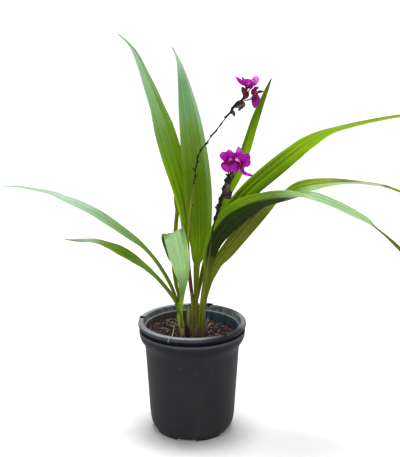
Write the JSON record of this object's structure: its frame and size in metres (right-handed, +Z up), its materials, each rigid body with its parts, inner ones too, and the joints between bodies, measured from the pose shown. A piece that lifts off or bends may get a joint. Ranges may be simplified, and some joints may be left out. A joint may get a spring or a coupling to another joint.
{
  "type": "potted ground orchid",
  "caption": "Ground orchid with arching pleated leaves and dark flower stalks with magenta blooms, in soil in a round tapered nursery pot.",
  "frame": {"origin": "centre of the pot's underside, on the surface that the pot stands on", "axes": "+Z up; the plant's front faces -Y; its longest leaves arch out to +X and -X"},
  "size_m": [0.7385, 0.2611, 0.5985],
  "materials": {
    "pot_plastic": "satin",
    "potting_soil": "matte",
    "sheath": "satin",
    "dry_sheath": "matte",
    "leaf": "satin",
    "flower_stalk": "matte",
    "petal": "satin",
    "flower_lip": "satin"
  },
  "bodies": {
    "root": {"pot": "pot_plastic", "soil": "potting_soil", "shoot_left": "sheath", "shoot_centre": "sheath", "shoot_right": "sheath", "shoot_old": "dry_sheath", "leaf_tall_left": "leaf", "leaf_tall_centre": "leaf", "leaf_narrow_right": "leaf", "leaf_high_arch": "leaf", "leaf_middle_arch": "leaf", "leaf_front_arch": "leaf", "leaf_long_left": "leaf", "leaf_short_left": "leaf", "leaf_folded": "leaf", "leaf_back": "leaf", "stalk_tall": "flower_stalk", "stalk_short": "flower_stalk", "bloom_low_left": "petal", "bloom_low_left_lip": "flower_lip", "bloom_low_right": "petal", "bloom_low_right_lip": "flower_lip", "bloom_high_left": "petal", "bloom_high_left_lip": "flower_lip", "bloom_high_right": "petal", "bloom_high_right_lip": "flower_lip", "bud_top": "petal", "dry_straw": "dry_sheath"}
  },
  "joints": []
}
